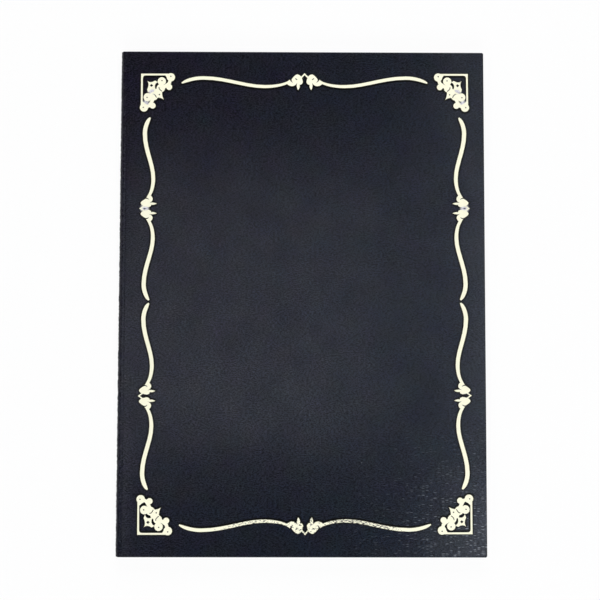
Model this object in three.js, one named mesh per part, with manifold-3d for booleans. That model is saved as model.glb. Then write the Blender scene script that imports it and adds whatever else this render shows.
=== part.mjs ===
import * as THREE from 'three';
import { mergeVertices } from 'three/addons/utils/BufferGeometryUtils.js';
import Module from 'manifold-3d';

// Certificate holder for one upright A4 sheet: two leatherette-covered boards that fold on a square spine,
// lined inside, with ribbon corners for the sheet and a gold-stamped scroll border on the front.
// It lies closed on its back cover: +X runs from the spine to the opening edge, +Y to the head, +Z is up.
// All sizes are in millimetres.

// The closed holder
const HOLDER_WIDTH = 225;
const HOLDER_HEIGHT = 310;
const SHEET_ROOM = 0.6; // left between the two linings for the certificate

// Sheet materials and the glue between them
const BOARD = 2;
const LEATHERETTE = 0.6;
const CARD = LEATHERETTE; // level with the leatherette that is turned in around it
const LINING = 0.5;
const RIBBON = 0.2;
const FOIL = 0.12;
const GLUE = 0.05;

// Covering
const TURN_IN = 15; // leatherette folded over on to the inside of a board
const MITRE_GAP = 0.3; // between two turned-in edges at a corner
const EDGE_ROUND = 0.55; // of the leatherette over the board's edges
const CORNER_ROUND = 1.2; // of the cover's two free corners, seen from the front
const ROUND_STEPS = 4; // straight steps that a quarter round is drawn with

// Folds
const FOLD_GAP = 0.1; // between the leatherette of the spine and of a cover
const HINGE_ROOM = 0.65; // between the lined spine and a cover's lined edge
const SPINE_ROOM = 0.1; // between the spine's inner layers and the strip that lines a cover's fold

// Lining and ribbons
const LINING_MARGIN = 4.5; // of turned-in leatherette that the lining leaves bare
const RIBBON_WIDTH = 12;
const RIBBON_REACH = 30; // from the lining's corner, along its edge, to the ribbon
const RIBBON_TAIL = 9; // of ribbon glued under the lining

// Gilt border, measured in from the front panel's edges
const BORDER_MARGIN_SIDE = 9.56;
const BORDER_MARGIN_END = 13.82;
const BORDER_SHIFT = 0.2; // off the panel's middle, towards the opening edge
const BORDER_TILT = 0.17; // degrees that the border is stamped askew
const CORNER_LENGTH = 21.05; // of a corner ornament along the head or tail
const CORNER_STRETCH = 1.15; // how much longer it is along the sides
const CORNER_GAP_END = 4.15; // from a corner ornament to the scroll at the head or tail
const CORNER_GAP_SIDE = 3.05; // from a corner ornament to the scroll at a side
const SIDE_GAP = 1.8; // between the two scrolls of one side
const SIDE_DROP = 0.3; // that the side scrolls are stamped off the middle, towards the tail
const SCROLL_DEPTH = 10.3; // that a scroll reaches in from the border line
const END_WEIGHT = 0.87; // how bold a brush stroke is at the head or tail, against its drawing
const SIDE_WEIGHT = 1.06; // and at a side
const CURVE_STEPS = 4; // straight steps that each piece of a gilt curve is drawn with
const DISC_STEPS = 14; // and each round of the border

// Heights in the closed holder
const caseDepth = LEATHERETTE + GLUE + BOARD + GLUE + LEATHERETTE;
const tailRoom = GLUE + RIBBON + GLUE;
const backLiningBase = caseDepth + tailRoom;
const frontLiningBase = caseDepth + GLUE;
const closedDepth = backLiningBase + LINING + SHEET_ROOM + LINING + frontLiningBase;
const spineInnerBase = LEATHERETTE + GLUE + LEATHERETTE + SPINE_ROOM;

// Edges of the closed holder, and the front panel with the middle of its border
const spineFace = -HOLDER_WIDTH / 2;
const openEdge = HOLDER_WIDTH / 2;
const headEdge = HOLDER_HEIGHT / 2;
const spineDepth = LEATHERETTE + GLUE + CARD + GLUE + LEATHERETTE;
const boardSpineEdge = spineFace + spineDepth + HINGE_ROOM + LEATHERETTE + GLUE;
const boardOpenEdge = openEdge - LEATHERETTE - GLUE;
const boardHeadEdge = headEdge - LEATHERETTE - GLUE;
const foldEdge = spineFace + LEATHERETTE + FOLD_GAP;
const liningSpineEdge = boardSpineEdge + LINING_MARGIN;
const liningOpenEdge = openEdge - LINING_MARGIN;
const liningHeadEdge = headEdge - LINING_MARGIN;
const borderMiddle = (boardSpineEdge + openEdge) / 2 + BORDER_SHIFT;
const borderSide = (openEdge - boardSpineEdge) / 2 - BORDER_MARGIN_SIDE;
const borderEnd = headEdge - BORDER_MARGIN_END;

const BEYOND = 10; // how far a cutting block reaches past what it cuts

const LEATHERETTE_LOOK = { color: 0x24262e, roughness: 0.6, metalness: 0 };
const GILT_LOOK = { color: 0xe6d79a, roughness: 0.3, metalness: 1 };
const BOARD_LOOK = { color: 0x8f8a80, roughness: 0.95, metalness: 0 };
const LINING_LOOK = { color: 0xd9d3c2, roughness: 0.7, metalness: 0 };
const RIBBON_LOOK = { color: 0xcdb878, roughness: 0.45, metalness: 0 };

const wasm = await Module();
wasm.setup();

function toSolid(geometry) {
  const bare = geometry.clone();
  bare.deleteAttribute('normal');
  bare.deleteAttribute('uv');
  const merged = mergeVertices(bare);
  return new wasm.Manifold(new wasm.Mesh({
    numProp: 3,
    vertProperties: new Float32Array(merged.attributes.position.array),
    triVerts: new Uint32Array(merged.index.array),
  }));
}

function toGeometry(solid) {
  const mesh = solid.getMesh();
  const geometry = new THREE.BufferGeometry();
  geometry.setAttribute('position', new THREE.BufferAttribute(mesh.vertProperties, mesh.numProp));
  geometry.setIndex(new THREE.BufferAttribute(mesh.triVerts, 1));
  const flat = geometry.toNonIndexed();
  flat.computeVertexNormals();
  return flat;
}

function join(geometries) {
  return toGeometry(geometries.map(toSolid).reduce((whole, solid) => whole.add(solid)));
}

function cut(geometry, cutters) {
  const whole = toSolid(geometry);
  return toGeometry(cutters.map(toSolid).reduce((rest, cutter) => rest.subtract(cutter), whole));
}

function named(name, geometry, look) {
  const mesh = new THREE.Mesh(geometry, new THREE.MeshStandardMaterial(look));
  mesh.name = name;
  return mesh;
}

function block(from, to) {
  const geometry = new THREE.BoxGeometry(to[0] - from[0], to[1] - from[1], to[2] - from[2]);
  return geometry.translate((from[0] + to[0]) / 2, (from[1] + to[1]) / 2, (from[2] + to[2]) / 2);
}

// A flat piece with the given outline, lying on the height base.
function plate(outline, thickness, base) {
  const options = { depth: thickness, bevelEnabled: false };
  return new THREE.ExtrudeGeometry(new THREE.Shape(outline), options).translate(0, 0, base);
}

// A piece with one profile, drawn in X and Z, all along the spine.
function alongSpine(profile, length) {
  const options = { depth: length, bevelEnabled: false, curveSegments: ROUND_STEPS * 2 };
  return new THREE.ExtrudeGeometry(profile, options).rotateX(Math.PI / 2).translate(0, length / 2, 0);
}

// Covers

// The covering of one board, outer face down: a sheet folded up over three edges and in over the board.
function coverLeatherette() {
  const outline = new THREE.Shape();
  outline.moveTo(spineFace - BEYOND, -headEdge);
  outline.lineTo(openEdge - CORNER_ROUND, -headEdge);
  outline.absarc(openEdge - CORNER_ROUND, -headEdge + CORNER_ROUND, CORNER_ROUND, -Math.PI / 2, 0);
  outline.absarc(openEdge - CORNER_ROUND, headEdge - CORNER_ROUND, CORNER_ROUND, 0, Math.PI / 2);
  outline.lineTo(spineFace - BEYOND, headEdge);
  const slab = new THREE.ExtrudeGeometry(outline, {
    depth: caseDepth - 2 * EDGE_ROUND,
    bevelThickness: EDGE_ROUND,
    bevelSize: EDGE_ROUND,
    bevelOffset: -EDGE_ROUND,
    bevelSegments: ROUND_STEPS,
    curveSegments: ROUND_STEPS,
  }).translate(0, 0, EDGE_ROUND);
  const past = spineFace - 2 * BEYOND;
  const boardTop = LEATHERETTE + GLUE + BOARD + GLUE;
  const windowHead = headEdge - TURN_IN;
  const windowSide = openEdge - TURN_IN;
  const pastSpine = block(
    [past, -headEdge - BEYOND, -BEYOND],
    [foldEdge, headEdge + BEYOND, caseDepth + BEYOND],
  );
  const aboveFold = block(
    [past, -headEdge - BEYOND, LEATHERETTE],
    [boardSpineEdge, headEdge + BEYOND, caseDepth + BEYOND],
  );
  const boardRoom = block(
    [past, -boardHeadEdge - GLUE, LEATHERETTE],
    [boardOpenEdge + GLUE, boardHeadEdge + GLUE, boardTop],
  );
  const innerWindow = block([past, -windowHead, LEATHERETTE], [windowSide, windowHead, caseDepth + BEYOND]);
  const mitres = [1, -1].map((side) => {
    const reach = TURN_IN - 2 * LEATHERETTE;
    const slit = block(
      [0, -MITRE_GAP / 2, boardTop],
      [reach * Math.SQRT2, MITRE_GAP / 2, caseDepth + BEYOND],
    );
    return slit.rotateZ((side * Math.PI) / 4).translate(windowSide, side * windowHead, 0);
  });
  return cut(slab, [pastSpine, aboveFold, boardRoom, innerWindow, ...mitres]);
}

// The strip that lines the fold: flat on the free leatherette, up the board's edge and in over the board.
function hingeStrip() {
  const low = LEATHERETTE + GLUE;
  const high = low + BOARD + GLUE;
  const wall = boardSpineEdge - GLUE;
  const profile = new THREE.Shape();
  profile.moveTo(foldEdge + FOLD_GAP, low);
  profile.lineTo(wall, low);
  profile.lineTo(wall, high);
  profile.lineTo(boardSpineEdge + TURN_IN, high);
  profile.lineTo(boardSpineEdge + TURN_IN, high + LEATHERETTE);
  profile.lineTo(wall - LEATHERETTE, high + LEATHERETTE);
  profile.lineTo(wall - LEATHERETTE, low + LEATHERETTE);
  profile.lineTo(foldEdge + FOLD_GAP, low + LEATHERETTE);
  const flapHead = headEdge - TURN_IN - GLUE;
  const pastHead = headEdge + BEYOND;
  const roomForTurnIns = [[flapHead, pastHead], [-pastHead, -flapHead]].map(([from, to]) => block(
    [wall, from, low],
    [boardSpineEdge + TURN_IN + BEYOND, to, high + BEYOND],
  ));
  return cut(alongSpine(profile, 2 * boardHeadEdge), roomForTurnIns);
}

// One cover, outer face down, with its lining at the given height.
function cover(side, liningBase) {
  const boardBase = LEATHERETTE + GLUE;
  const cardBase = boardBase + BOARD + GLUE;
  const cardHead = headEdge - TURN_IN - GLUE;
  const board = block(
    [boardSpineEdge, -boardHeadEdge, boardBase],
    [boardOpenEdge, boardHeadEdge, boardBase + BOARD],
  );
  const card = block(
    [boardSpineEdge + TURN_IN + GLUE, -cardHead, cardBase],
    [openEdge - TURN_IN - GLUE, cardHead, cardBase + CARD],
  );
  const lining = block(
    [liningSpineEdge, -liningHeadEdge, liningBase],
    [liningOpenEdge, liningHeadEdge, liningBase + LINING],
  );
  const group = new THREE.Group();
  group.add(named(`${side}_leatherette`, coverLeatherette(), LEATHERETTE_LOOK));
  group.add(named(`${side}_board`, board, BOARD_LOOK));
  group.add(named(`${side}_infill_card`, card, BOARD_LOOK));
  group.add(named(`${side}_hinge_strip`, hingeStrip(), LEATHERETTE_LOOK));
  group.add(named(`${side}_lining`, lining, LINING_LOOK));
  return group;
}

// A ribbon across one corner of the back lining, with its tails folded round the two edges and under.
// The signs say which corner: spineward or openward, tail or head.
function cornerRibbon(sideSign, headSign) {
  const side = sideSign > 0 ? liningOpenEdge : liningSpineEdge;
  const head = headSign * liningHeadEdge;
  const over = GLUE + RIBBON;
  const near = RIBBON_REACH;
  const far = RIBBON_REACH + RIBBON_WIDTH * Math.SQRT2;
  const at = (inFromSide, inFromHead) => new THREE.Vector2(
    side - sideSign * inFromSide,
    head - headSign * inFromHead,
  );
  const top = backLiningBase + LINING + GLUE;
  const under = backLiningBase - over;
  const wallHeight = LINING + 2 * over;
  const band = [at(near, -over), at(far, -over), at(-over, far), at(-over, near)];
  const sideWall = [at(-over, near), at(-over, far), at(-GLUE, far), at(-GLUE, near)];
  const headWall = [at(near, -over), at(far, -over), at(far, -GLUE), at(near, -GLUE)];
  const nearEnd = near + RIBBON_TAIL;
  const farEnd = far + RIBBON_TAIL;
  const sideTail = [at(-over, near), at(-over, far), at(RIBBON_TAIL, farEnd), at(RIBBON_TAIL, nearEnd)];
  const headTail = [at(near, -over), at(far, -over), at(farEnd, RIBBON_TAIL), at(nearEnd, RIBBON_TAIL)];
  return join([
    plate(band, RIBBON, top),
    plate(sideWall, wallHeight, under),
    plate(headWall, wallHeight, under),
    plate(sideTail, RIBBON, under),
    plate(headTail, RIBBON, under),
  ]);
}

// Spine

// The covering between the two folds, round at each fold, with its ends turned in.
function spineLeatherette() {
  const round = LEATHERETTE / 2;
  const profile = new THREE.Shape();
  profile.absarc(spineFace + round, round, round, Math.PI, 2 * Math.PI);
  profile.absarc(spineFace + round, closedDepth - round, round, 0, Math.PI);
  const turnedIn = [headEdge - TURN_IN, -headEdge].map((start) => block(
    [spineFace + round, start, spineInnerBase],
    [spineFace + 2 * LEATHERETTE, start + TURN_IN, closedDepth - spineInnerBase],
  ));
  return join([alongSpine(profile, HOLDER_HEIGHT), ...turnedIn]);
}

function spine() {
  const stiffenerFace = spineFace + LEATHERETTE + GLUE;
  const stiffenerHead = headEdge - TURN_IN - GLUE;
  const liningFace = stiffenerFace + CARD + GLUE;
  const stiffener = block(
    [stiffenerFace, -stiffenerHead, spineInnerBase],
    [stiffenerFace + CARD, stiffenerHead, closedDepth - spineInnerBase],
  );
  const lining = block(
    [liningFace, -boardHeadEdge, spineInnerBase],
    [liningFace + LEATHERETTE, boardHeadEdge, closedDepth - spineInnerBase],
  );
  const group = new THREE.Group();
  group.add(named('spine_leatherette', spineLeatherette(), LEATHERETTE_LOOK));
  group.add(named('spine_stiffener', stiffener, BOARD_LOOK));
  group.add(named('spine_lining', lining, LEATHERETTE_LOOK));
  return group;
}

// Gilt border

function disc(centre, radius) {
  return Array.from({ length: DISC_STEPS }, (_, step) => {
    const angle = (step / DISC_STEPS) * 2 * Math.PI;
    return new THREE.Vector2(centre.x + radius * Math.cos(angle), centre.y + radius * Math.sin(angle));
  });
}

// The outline of a brush stroke along the points of a line, with a width at each point.
function stroke(points, widths) {
  const left = [];
  const right = [];
  points.forEach((point, i) => {
    const ahead = points[Math.min(i + 1, points.length - 1)];
    const behind = points[Math.max(i - 1, 0)];
    const along = ahead.clone().sub(behind).normalize();
    const offset = new THREE.Vector2(-along.y, along.x).multiplyScalar(widths[i] / 2);
    left.push(point.clone().add(offset));
    right.unshift(point.clone().sub(offset));
  });
  return [...left, ...right];
}

// The outline through a list of corners, each with the control point of the curve that leads to it.
function curvedOutline(start, curves, place) {
  const outline = [place(...start)];
  let from = outline[0];
  curves.forEach(([control, end]) => {
    const to = place(...end);
    if (control) {
      const curve = new THREE.QuadraticBezierCurve(from, place(...control), to);
      outline.push(...curve.getPoints(CURVE_STEPS).slice(1));
    } else {
      outline.push(to);
    }
    from = to;
  });
  outline.pop();
  return outline;
}

function giltPiece(outlines, holes) {
  const base = closedDepth + GLUE;
  const whole = join(outlines.map((outline) => plate(outline, FOIL, base)));
  return cut(whole, holes.map((hole) => plate(hole, FOIL + 2 * BEYOND, base - BEYOND)));
}

// The corner ornament is drawn by distances in from its bracket's outer corner: along one arm, then along
// the other. It is the same either side of its diagonal.
const CURL = { at: [18.45, 1.95], radius: 2.6, eye: [18.4, 1.5] };
const RING = { at: [12.84, 4.19], radius: 2.6, eye: [12.95, 3.8] };
const BUD = { at: [17.45, 7.3], radius: 1.87 };
const LOBE = { at: [12.3, 7.9], radius: 2.65 };
const HEART = { at: [10.2, 10.2], radius: 2.4, eye: [11.4, 11.4] };
const EYE = 0.42; // radius of the small round openings
const STEM = { path: [CURL.at, [17.5, 5.2], [15, 6.9], LOBE.at], width: 2.1 };
const LOBE_SLIT = { path: [[13, 9.6], [12.1, 9.1], [11.2, 8.1], [11.1, 7.3]], width: 0.5 };
const NECK = [[14.9, 0.8], [16.5, 2.9], [18.3, 2.4], [17.2, 0]];
const BRACKET = { arm: 1.1, fillet: 1.8, end: 17.4 };
const STAR = {
  start: [3.9, 3.9],
  curves: [
    [[5.7, 5.5], [8.7, 3.8]],
    [null, [10.4, 4.6]],
    [[7.4, 5.6], [9.2, 9.2]],
    [[5.6, 7.4], [4.6, 10.4]],
    [null, [3.8, 8.7]],
    [[5.5, 5.7], [3.9, 3.9]],
  ],
  diamond: [[5.4, 6.45], [6.45, 5.6], [7.5, 6.45], [6.45, 7.3]],
};
const TIP = {
  start: [9, 9],
  curves: [
    [null, [13, 10]],
    [[13.1, 12.7], [14.2, 14.2]],
    [[12.7, 13.1], [10, 13]],
    [null, [9, 9]],
  ],
};
const cornerScale = CORNER_LENGTH / (CURL.at[0] + CURL.radius);

function giltCorner(sideSign, endSign) {
  const place = (alongEnd, alongSide) => new THREE.Vector2(
    sideSign * (borderSide - alongEnd * cornerScale),
    endSign * (borderEnd - alongSide * cornerScale * CORNER_STRETCH),
  );
  const swapped = (alongSide, alongEnd) => place(alongEnd, alongSide);
  const { arm, fillet, end } = BRACKET;
  const endArm = arm / CORNER_STRETCH; // so that both arms come out as wide
  const bracket = curvedOutline([0, 0], [
    [null, [end, 0]],
    [null, [end, endArm]],
    [null, [arm + fillet, endArm]],
    [[arm, endArm], [arm, endArm + fillet]],
    [null, [arm, end]],
    [null, [0, end]],
    [null, [0, 0]],
  ], place);
  const round = (spot, centre, radius) => disc(spot(...centre), radius * cornerScale);
  const line = (spot, { path, width }) => stroke(
    path.map((point) => spot(...point)),
    path.map(() => width * cornerScale),
  );
  const outlines = [
    bracket,
    curvedOutline(STAR.start, STAR.curves, place),
    curvedOutline(TIP.start, TIP.curves, place),
    round(place, HEART.at, HEART.radius),
  ];
  const holes = [STAR.diamond.map((point) => place(...point)), round(place, HEART.eye, EYE)];
  [place, swapped].forEach((spot) => {
    outlines.push(NECK.map((point) => spot(...point)), line(spot, STEM));
    [CURL, RING, BUD, LOBE].forEach(({ at, radius }) => outlines.push(round(spot, at, radius)));
    holes.push(round(spot, CURL.eye, EYE), round(spot, RING.eye, EYE), line(spot, LOBE_SLIT));
  });
  return giltPiece(outlines, holes);
}

// The scroll is drawn from its middle outwards: along its length, then in from the border line. Its middle
// knot and its long brush stroke are the same either way from the middle.
const KNOT = {
  start: [2.1, 1.9],
  curves: [
    [[3.4, 0.3], [4.8, 0.4]],
    [[6.2, 0.9], [8, 3.3]],
    [[8.5, 4.2], [7.2, 5.6]],
    [[8.7, 5.2], [9.2, 3.7]],
    [[10.1, 4.5], [11.7, 5.25]],
    [null, [11, 6.3]],
    [[9.7, 7.8], [7.7, 7.8]],
    [[5.6, 7.6], [4.5, 5.4]],
    [[5.1, 6.8], [4.9, 8]],
    [[4.7, 9.3], [4.1, 10.3]],
    [[2.5, 8.4], [3.2, 6.8]],
    [[1.8, 7.2], [1.1, 5.2]],
    [[1.4, 3.3], [2.1, 1.9]],
  ],
};
const KNOT_SLIT = { path: [[4.6, 3.8], [5.8, 2.95]], width: 0.6 };
const CHEVRON = { top: -0.4, side: 2.6, foot: 2.3, depth: 1.25 };
const WAVE = [
  [[10, 5.2], [13.5, 7.1], [19, 8.05], [25, 8.05]],
  [[25, 8.05], [37, 8.05], [49, 2.65], [63, 2.65]],
  [[63, 2.65], [68.5, 2.65], [73.3, 4.1], [76.5, 5.9]],
];
const WAVE_STEPS = 7; // straight steps of each piece of the wave
const WAVE_WIDTHS = [1.6, 2.2, 2.4, 0.8]; // where the pieces of the wave meet
const WAVE_TAPER = 5; // how late the last piece narrows: the power of the way along it
const drawnLength = WAVE.at(-1).at(-1)[0];
const drawnDepth = Math.max(...KNOT.curves.map(([, end]) => end[1]));
const depthScale = SCROLL_DEPTH / drawnDepth;

// The wave's middle line, with its width at each point: it swells from the knot and is cut short at its end.
function waveStroke(spot, weight) {
  const line = [];
  const widths = [];
  WAVE.forEach((controls, piece) => {
    const curve = new THREE.CubicBezierCurve(...controls.map((point) => spot(...point)));
    const last = piece === WAVE.length - 1;
    for (let step = piece === 0 ? 0 : 1; step <= WAVE_STEPS; step += 1) {
      const share = step / WAVE_STEPS;
      const taper = last ? share ** WAVE_TAPER : share;
      const drawnWidth = THREE.MathUtils.lerp(WAVE_WIDTHS[piece], WAVE_WIDTHS[piece + 1], taper);
      line.push(curve.getPoint(share));
      widths.push(drawnWidth * weight * depthScale);
    }
  });
  return stroke(line, widths);
}

function giltScroll(place, weight, slits) {
  const { top, side, foot, depth } = CHEVRON;
  const chevron = [
    [0, top], [side, foot], [side, foot + depth],
    [0, top + depth], [-side, foot + depth], [-side, foot],
  ];
  const outlines = [chevron.map((point) => place(...point))];
  const holes = [];
  [1, -1].forEach((way) => {
    const spot = (along, inward) => place(way * along, inward);
    outlines.push(waveStroke(spot, weight), curvedOutline(KNOT.start, KNOT.curves, spot));
    slits.forEach(({ path, width }) => {
      holes.push(stroke(path.map((point) => spot(...point)), path.map(() => width * depthScale)));
    });
  });
  return giltPiece(outlines, holes);
}

const endHalf = borderSide - CORNER_LENGTH - CORNER_GAP_END;
const sideHalf = (borderEnd - CORNER_LENGTH * CORNER_STRETCH - CORNER_GAP_SIDE - SIDE_GAP / 2) / 2;
const sideMiddle = SIDE_GAP / 2 + sideHalf;

function endScroll(endSign) {
  const place = (along, inward) => new THREE.Vector2(
    (along / drawnLength) * endHalf,
    endSign * (borderEnd - inward * depthScale),
  );
  return giltScroll(place, END_WEIGHT, [KNOT_SLIT]);
}

function sideScroll(sideSign, endSign) {
  const place = (along, inward) => new THREE.Vector2(
    sideSign * (borderSide - inward * depthScale),
    endSign * sideMiddle - SIDE_DROP + (along / drawnLength) * sideHalf,
  );
  return giltScroll(place, SIDE_WEIGHT, []);
}

function giltBorder() {
  const group = new THREE.Group();
  group.position.x = borderMiddle;
  group.rotation.z = THREE.MathUtils.degToRad(BORDER_TILT);
  [['top', 1], ['bottom', -1]].forEach(([end, endSign]) => {
    group.add(named(`gilt_scroll_${end}`, endScroll(endSign), GILT_LOOK));
    [['left', -1], ['right', 1]].forEach(([side, sideSign]) => {
      const half = end === 'top' ? 'upper' : 'lower';
      group.add(named(`gilt_corner_${end}_${side}`, giltCorner(sideSign, endSign), GILT_LOOK));
      group.add(named(`gilt_scroll_${side}_${half}`, sideScroll(sideSign, endSign), GILT_LOOK));
    });
  });
  return group;
}

// The holder

const holder = new THREE.Group();
holder.name = 'certificate_holder';
holder.add(cover('back', backLiningBase));
[['top', 1], ['bottom', -1]].forEach(([end, headSign]) => {
  [['left', -1], ['right', 1]].forEach(([side, sideSign]) => {
    holder.add(named(`corner_ribbon_${end}_${side}`, cornerRibbon(sideSign, headSign), RIBBON_LOOK));
  });
});
holder.add(spine());
const frontCover = cover('front', frontLiningBase);
frontCover.rotation.x = Math.PI;
frontCover.position.z = closedDepth;
holder.add(frontCover);
holder.add(giltBorder());

export default holder;
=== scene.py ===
# %% [markdown]
# A certificate holder is made like the case of a hard-bound book. Two sheets of greyboard and a narrow
# strip of card lie side by side on one large sheet of leatherette, whose edges are folded over and
# glued down inside. A lining hides the glued edges, ribbons hold the corners of the certificate, and a
# hot brass die presses a border of gold foil into the front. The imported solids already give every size
# and both folds. This lesson lays the visible skin over them: soft folds instead of sharp corners,
# grain, foil, watered paper and satin.

import math
from collections import namedtuple

import bmesh
import bpy
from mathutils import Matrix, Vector, noise


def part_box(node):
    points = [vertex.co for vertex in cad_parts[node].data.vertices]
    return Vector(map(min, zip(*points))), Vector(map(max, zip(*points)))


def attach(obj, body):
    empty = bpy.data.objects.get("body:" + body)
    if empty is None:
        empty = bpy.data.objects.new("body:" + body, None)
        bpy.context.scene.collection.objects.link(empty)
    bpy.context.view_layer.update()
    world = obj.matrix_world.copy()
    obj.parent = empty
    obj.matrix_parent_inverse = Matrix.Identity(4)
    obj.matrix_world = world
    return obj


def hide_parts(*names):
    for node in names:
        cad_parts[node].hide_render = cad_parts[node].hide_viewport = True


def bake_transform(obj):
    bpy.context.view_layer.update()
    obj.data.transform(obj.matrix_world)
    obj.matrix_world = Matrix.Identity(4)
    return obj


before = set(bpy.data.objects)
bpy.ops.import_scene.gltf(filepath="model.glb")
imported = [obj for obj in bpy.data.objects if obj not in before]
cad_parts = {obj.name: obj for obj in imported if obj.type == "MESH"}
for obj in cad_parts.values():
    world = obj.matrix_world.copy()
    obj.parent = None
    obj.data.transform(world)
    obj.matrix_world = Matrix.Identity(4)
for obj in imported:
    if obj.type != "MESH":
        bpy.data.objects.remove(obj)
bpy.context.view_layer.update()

# %% [markdown]
# A size that the solids know is read from them, so that the skin still fits after the holder has been
# made larger or thicker. Blender works in metres and a holder is easier to think about in millimetres,
# so lengths below are written in millimetres times MM.

# %% Read the sizes
MM = 0.001
LEATHERETTE = 0.6 * MM
GLUE = 0.05 * MM

spine_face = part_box("spine_leatherette")[0].x
head_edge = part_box("spine_leatherette")[1].y
closed_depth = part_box("spine_leatherette")[1].z
open_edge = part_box("front_leatherette")[1].x
case_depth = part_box("back_leatherette")[1].z
board_spine_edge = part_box("back_board")[0].x
turn_in = head_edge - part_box("back_infill_card")[1].y - GLUE
doubled = 2 * LEATHERETTE + GLUE
print(f"closed holder {2 * open_edge / MM:.0f} x {2 * head_edge / MM:.0f} x {closed_depth / MM:.2f} mm,",
      f"covers {case_depth / MM:.2f} mm, edges turned in {turn_in / MM:.0f} mm")

# %% [markdown]
# Every skin here starts as a list of points and faces. One helper turns such lists into a smooth-shaded
# object, and keeps with each point its place on the flat sheet, in a UV map named "sheet". Leatherette
# is embossed while it lies flat, so its grain has to follow that flat place round every fold. Another
# makes a modifier's result final, because a piece that bends at a joint has to be a finished mesh. The
# back cover is the front cover seen in a mirror that lies level with the middle of the spine. Mirroring
# turns each face inside out, so the last helper flips the faces again.


# %% Make pieces
def put_in_scene(name, data):
    thing = bpy.data.objects.new(name, data)
    bpy.context.scene.collection.objects.link(thing)
    return thing


def add_piece(name, points, faces, flat_places=None):
    mesh = bpy.data.meshes.new(name)
    mesh.from_pydata(points, [], faces)
    mesh.shade_smooth()
    if flat_places:
        sheet = mesh.uv_layers.new(name="sheet")
        for corner, spot in zip(mesh.loops, sheet.data):
            spot.uv = flat_places[corner.vertex_index]
    return put_in_scene(name, mesh)


def thicken(piece, thickness):
    solidify = piece.modifiers.new("thickness", "SOLIDIFY")
    solidify.thickness = thickness
    solidify.offset = -1
    shaped = piece.evaluated_get(bpy.context.evaluated_depsgraph_get())
    flat_mesh, piece.data = piece.data, bpy.data.meshes.new_from_object(shaped)
    piece.modifiers.clear()
    bpy.data.meshes.remove(flat_mesh)
    return piece


def mirror_to_back(piece):
    for point in piece.data.vertices:
        point.co.z = closed_depth - point.co.z
    piece.data.flip_normals()


print("pieces are mirrored at", f"{closed_depth / 2 / MM:.2f} mm, the middle of the spine")


# %% [markdown]
# Three more helpers work on plain numbers. Lengths along a line say where each of its points lay on the
# flat sheet. Lines with the same count of points, set side by side, are joined by a grid of faces.
# Easing goes from 0 to 1 with a soft start and end, which leaves no hard edge where a thickness or a
# grain fades out.


# %% Measure and join lines
def lengths_along(line):
    lengths = [0.0]
    for before, after in zip(line, line[1:]):
        lengths.append(lengths[-1] + math.dist(before, after))
    return lengths


def faces_between(lines, count):
    faces = []
    for line in range(lines - 1):
        for number in range(count - 1):
            first = line * count + number
            faces.append((first, first + 1, first + count + 1, first + count))
    return faces


def ease(value, start, end):
    """0 before start, 1 after end, and a soft slope between them."""
    share = min(max((value - start) / (end - start), 0), 1)
    return share * share * (3 - 2 * share)


print("a quarter of the way, easing has reached", ease(0.25, 0, 1))

# %% [markdown]
# Seen from the head, the leatherette runs up the middle of the spine, round the fold, sinks a little
# where nothing stiff lies behind it, and then stays flat over the board to the opening edge. Modelling
# this with a bevelled box would give two boxes that meet at a hard line. A row of stations along one
# line keeps it a single sheet, and each station knows which way is out and how far along the sheet it
# lies.

# %% Stations across one cover
FOLD_ROUND = 2.6 * MM
FOLD_STEPS = 12
SPINE_STEPS = 5
JOINT_STEPS = 10
PANEL_STEPS = 22
JOINT_DIP = 0.1 * MM
JOINT_OVER_BOARD = 1.2 * MM
CORNER_ROUND = 1.1 * MM

Station = namedtuple("Station", "x depth out_x out_depth along")
fold_end = spine_face + FOLD_ROUND
joint_end = board_spine_edge + JOINT_OVER_BOARD


def joint_dip(x):
    share = (x - fold_end) / (joint_end - fold_end)
    return JOINT_DIP * math.sin(math.pi * share) ** 2 if 0 < share < 1 else 0.0


def across_line():
    line = []
    for step in range(SPINE_STEPS):
        share = step / SPINE_STEPS
        line.append((spine_face, closed_depth / 2 * (1 - share) + FOLD_ROUND * share, -1, 0))
    for step in range(FOLD_STEPS + 1):
        turn = step / FOLD_STEPS * math.pi / 2
        out_x, out_depth = -math.cos(turn), -math.sin(turn)
        line.append((fold_end + FOLD_ROUND * out_x, FOLD_ROUND * (1 + out_depth), out_x, out_depth))
    flat_parts = (fold_end, joint_end, JOINT_STEPS), (joint_end, open_edge - CORNER_ROUND, PANEL_STEPS)
    for start, end, steps in flat_parts:
        for step in range(1, steps + 1):
            x = start + (end - start) * step / steps
            line.append((x, joint_dip(x), 0, -1))
    lengths = lengths_along([spot[:2] for spot in line])
    return [Station(*spot, along) for spot, along in zip(line, lengths)]


stations = across_line()
panel_length = stations[-1].along
print(len(stations), "stations,", f"{panel_length / MM:.1f} mm from mid-spine to where the edge turns")

# %% [markdown]
# At the head, the tail and the opening edge the sheet rolls over the board and lies flat on its inside.
# That hook is one small profile, given as distance in from the edge and depth below the outer face.
# Where the sheet passes over a fold there is no board, so the hook is only as thick as two layers of
# leatherette.

# %% The hook at an edge
EDGE_ROUND = 0.5 * MM
THIN_EDGE_ROUND = 0.42
EDGE_STEPS = 5
TURNED_IN_ROWS = [2.2 * MM, 6 * MM]
RAMP_BEFORE_BOARD = 0.4 * MM
RAMP_OVER_BOARD = 0.2 * MM


def turned_thickness(x):
    start, end = board_spine_edge - RAMP_BEFORE_BOARD, board_spine_edge + RAMP_OVER_BOARD
    return doubled + (case_depth - doubled) * ease(x, start, end)


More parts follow.
